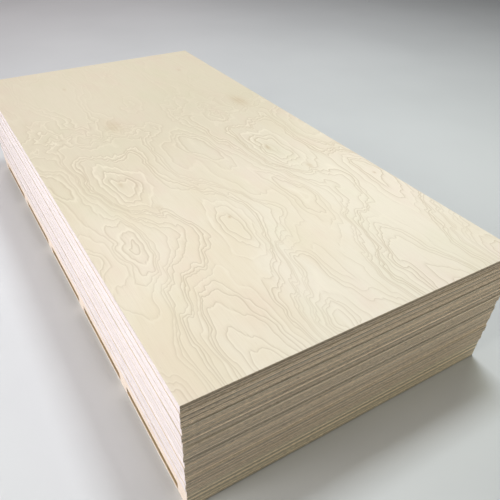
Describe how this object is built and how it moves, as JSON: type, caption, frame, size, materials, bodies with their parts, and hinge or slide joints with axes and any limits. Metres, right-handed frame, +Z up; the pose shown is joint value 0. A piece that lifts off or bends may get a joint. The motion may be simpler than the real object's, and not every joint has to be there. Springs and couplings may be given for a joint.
{
  "type": "plywood sheet stack",
  "caption": "Flush stack of full-size birch plywood sheets, each one a separate solid, lying on a base of a bottom board, cross battens, a deck board and a cover board.",
  "frame": {"origin": "centre of the stack's underside, on the floor it lies on", "axes": "+X across the sheets' width, +Y along their length and face grain, +Z up through the thickness"},
  "size_m": [1.223, 2.443, 0.495],
  "materials": {
    "birch_plywood": "sanded, unfinished birch veneer faces with sawn edges that show the plies",
    "base_boards": "raw packing-grade plywood boards with sawn edges",
    "battens": "cross battens sawn from thick laminated board, with the plies showing on their sides"
  },
  "bodies": {
    "root": {"bottom_board": "base_boards", "batten_1": "battens", "batten_2": "battens", "batten_3": "battens", "batten_4": "battens", "batten_5": "battens", "batten_6": "battens", "deck_board": "base_boards", "cover_board": "base_boards", "sheet_01": "birch_plywood", "sheet_02": "birch_plywood", "sheet_03": "birch_plywood", "sheet_04": "birch_plywood", "sheet_05": "birch_plywood", "sheet_06": "birch_plywood", "sheet_07": "birch_plywood", "sheet_08": "birch_plywood", "sheet_09": "birch_plywood", "sheet_10": "birch_plywood", "sheet_11": "birch_plywood", "sheet_12": "birch_plywood", "sheet_13": "birch_plywood", "sheet_14": "birch_plywood", "sheet_15": "birch_plywood", "sheet_16": "birch_plywood", "sheet_17": "birch_plywood", "sheet_18": "birch_plywood", "sheet_19": "birch_plywood", "sheet_20": "birch_plywood", "sheet_21": "birch_plywood", "sheet_22": "birch_plywood", "sheet_23": "birch_plywood", "sheet_24": "birch_plywood", "sheet_25": "birch_plywood", "sheet_26": "birch_plywood", "sheet_27": "birch_plywood"}
  },
  "joints": []
}
